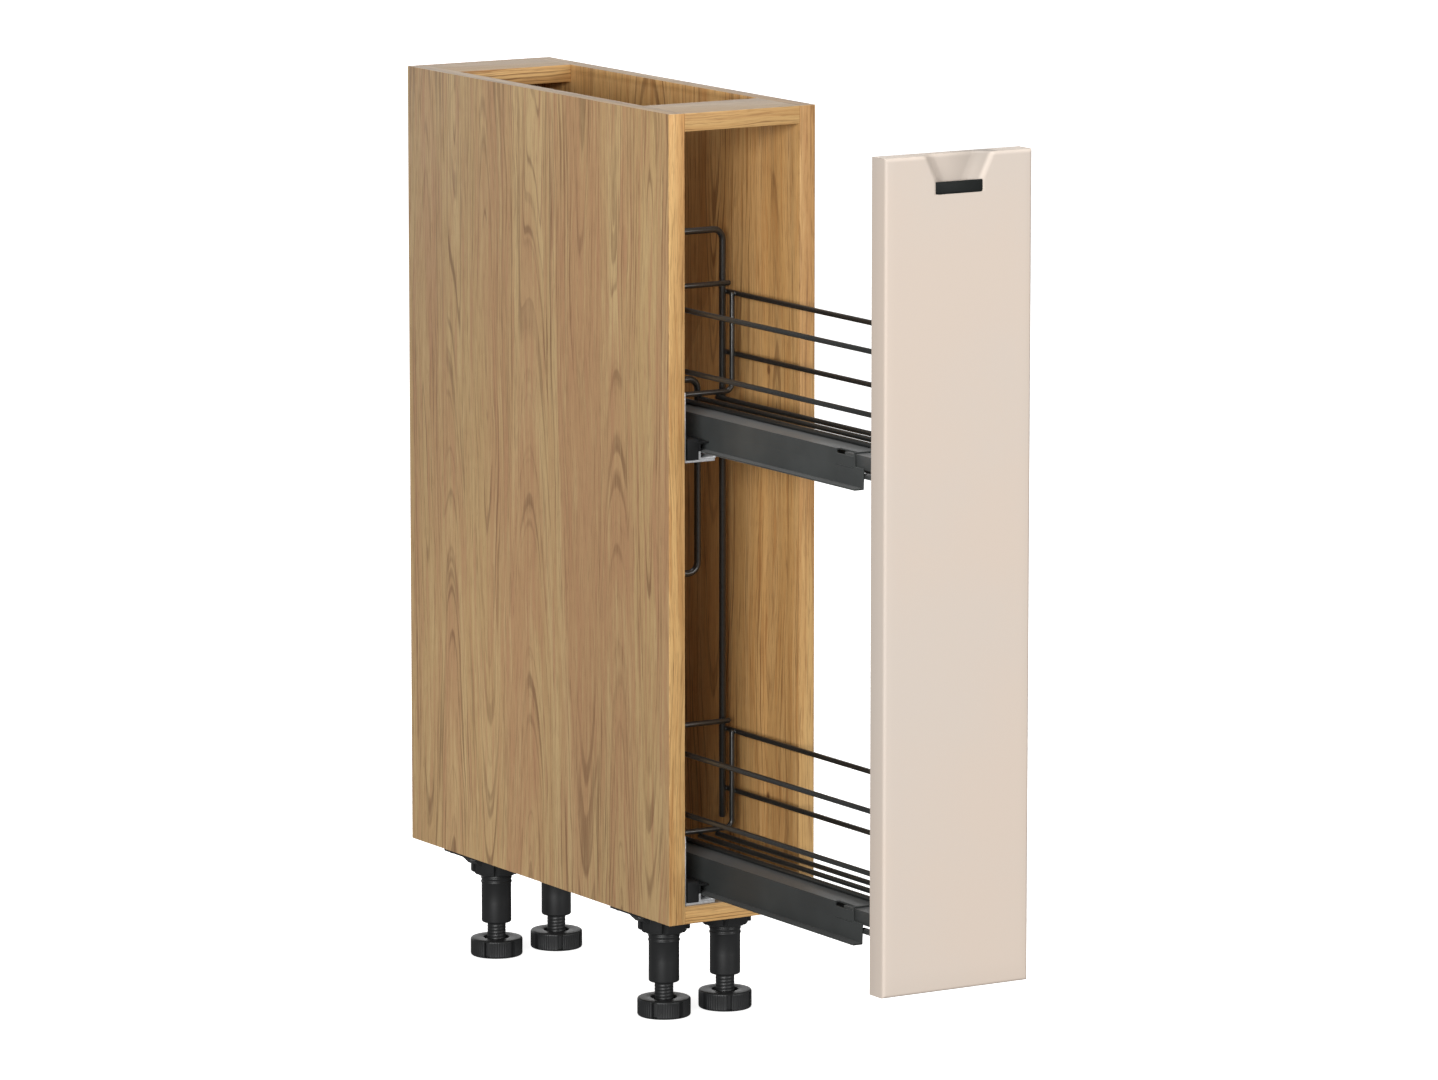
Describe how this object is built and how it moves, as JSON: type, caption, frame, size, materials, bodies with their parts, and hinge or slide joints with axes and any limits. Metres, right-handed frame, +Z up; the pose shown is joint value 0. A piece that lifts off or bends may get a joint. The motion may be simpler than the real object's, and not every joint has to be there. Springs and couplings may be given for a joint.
{
  "type": "pull-out kitchen base cabinet",
  "caption": "Narrow kitchen base cabinet on adjustable legs, shown with its front and wire baskets pulled out on side-mounted runners.",
  "frame": {"origin": "on the floor, under the centre of the box around the cabinet and its open pull-out", "axes": "+X to the right across the width, +Y from the front panel to the back, +Z up"},
  "size_m": [0.15, 0.81, 0.82],
  "materials": {
    "oak_board": "oak laminate, satin",
    "oak_band": "oak edge band, satin",
    "back_board": "thin fibreboard",
    "beech": "beech dowel",
    "front_lacquer": "matt beige lacquer on fibreboard",
    "anthracite_wire": "satin powder coat",
    "anthracite_steel": "satin powder coat",
    "zinc_steel": "zinc plated",
    "black_plastic": "matt moulded",
    "nylon": "smooth moulded",
    "clear_soft": "soft clear dot"
  },
  "bodies": {
    "carcass": {"left_side_panel": "oak_board", "right_side_panel": "oak_board", "bottom_panel": "oak_board", "front_top_rail": "oak_board", "rear_top_rail": "oak_board", "back_panel": "back_board", "left_edge_band": "oak_band", "right_edge_band": "oak_band", "bottom_edge_band": "oak_band", "front_rail_edge_band": "oak_band", "rear_rail_edge_band": "oak_band", "carcass_dowels": "beech", "cam_fittings": "zinc_steel", "cam_bolts": "zinc_steel", "back_panel_nails": "zinc_steel", "leg_screws": "zinc_steel", "wall_rail_screws": "zinc_steel", "front_left_leg_socket": "black_plastic", "front_right_leg_socket": "black_plastic", "rear_left_leg_socket": "black_plastic", "rear_right_leg_socket": "black_plastic", "front_left_leg_tube": "black_plastic", "front_right_leg_tube": "black_plastic", "rear_left_leg_tube": "black_plastic", "rear_right_leg_tube": "black_plastic", "lower_wall_rail": "zinc_steel", "lower_track_rail": "zinc_steel", "lower_guide_rail": "black_plastic", "upper_wall_rail": "zinc_steel", "upper_track_rail": "zinc_steel", "upper_guide_rail": "black_plastic"},
    "pullout": {"front_panel": "front_lacquer", "handle_insert": "black_plastic", "handle_insert_screws": "zinc_steel", "panel_bumpers": "clear_soft", "basket_front_tabs": "anthracite_steel", "front_panel_screws": "zinc_steel", "rear_frame": "anthracite_wire", "rear_cross_rods": "anthracite_wire", "lower_basket_side_wires": "anthracite_wire", "lower_basket_floor_wires": "anthracite_wire", "lower_basket_rear_hoop": "anthracite_wire", "lower_basket_front_hoop": "anthracite_wire", "lower_drawer_rail": "anthracite_steel", "lower_front_bracket": "anthracite_steel", "upper_basket_side_wires": "anthracite_wire", "upper_basket_floor_wires": "anthracite_wire", "upper_basket_rear_hoop": "anthracite_wire", "upper_basket_front_hoop": "anthracite_wire", "upper_drawer_rail": "anthracite_steel", "upper_front_bracket": "anthracite_steel"},
    "lower_mid": {"lower_mid_rail": "zinc_steel", "lower_mid_rail_pads": "nylon"},
    "upper_mid": {"upper_mid_rail": "zinc_steel", "upper_mid_rail_pads": "nylon"},
    "front_left_foot_body": {"front_left_foot": "black_plastic"},
    "front_right_foot_body": {"front_right_foot": "black_plastic"},
    "rear_left_foot_body": {"rear_left_foot": "black_plastic"},
    "rear_right_foot_body": {"rear_right_foot": "black_plastic"}
  },
  "joints": [
    {"name": "pull_out", "type": "slide", "parent": "carcass", "child": "pullout", "axis": [0, -1, 0], "range_m": [-0.323, 0.1]},
    {"name": "lower_mid_slide", "type": "slide", "parent": "carcass", "child": "lower_mid", "axis": [0, -1, 0], "range_m": [-0.1625, 0.0505]},
    {"name": "upper_mid_slide", "type": "slide", "parent": "carcass", "child": "upper_mid", "axis": [0, -1, 0], "range_m": [-0.1625, 0.0505]},
    {"name": "front_left_foot_height", "type": "slide", "parent": "carcass", "child": "front_left_foot_body", "axis": [0, 0, -1], "range_m": [-0.01, 0.015]},
    {"name": "front_right_foot_height", "type": "slide", "parent": "carcass", "child": "front_right_foot_body", "axis": [0, 0, -1], "range_m": [-0.01, 0.015]},
    {"name": "rear_left_foot_height", "type": "slide", "parent": "carcass", "child": "rear_left_foot_body", "axis": [0, 0, -1], "range_m": [-0.01, 0.015]},
    {"name": "rear_right_foot_height", "type": "slide", "parent": "carcass", "child": "rear_right_foot_body", "axis": [0, 0, -1], "range_m": [-0.01, 0.015]}
  ],
  "couplings": [
    {"joint": "lower_mid_slide", "follows": "pull_out", "ratio": 0.5},
    {"joint": "upper_mid_slide", "follows": "pull_out", "ratio": 0.5}
  ]
}
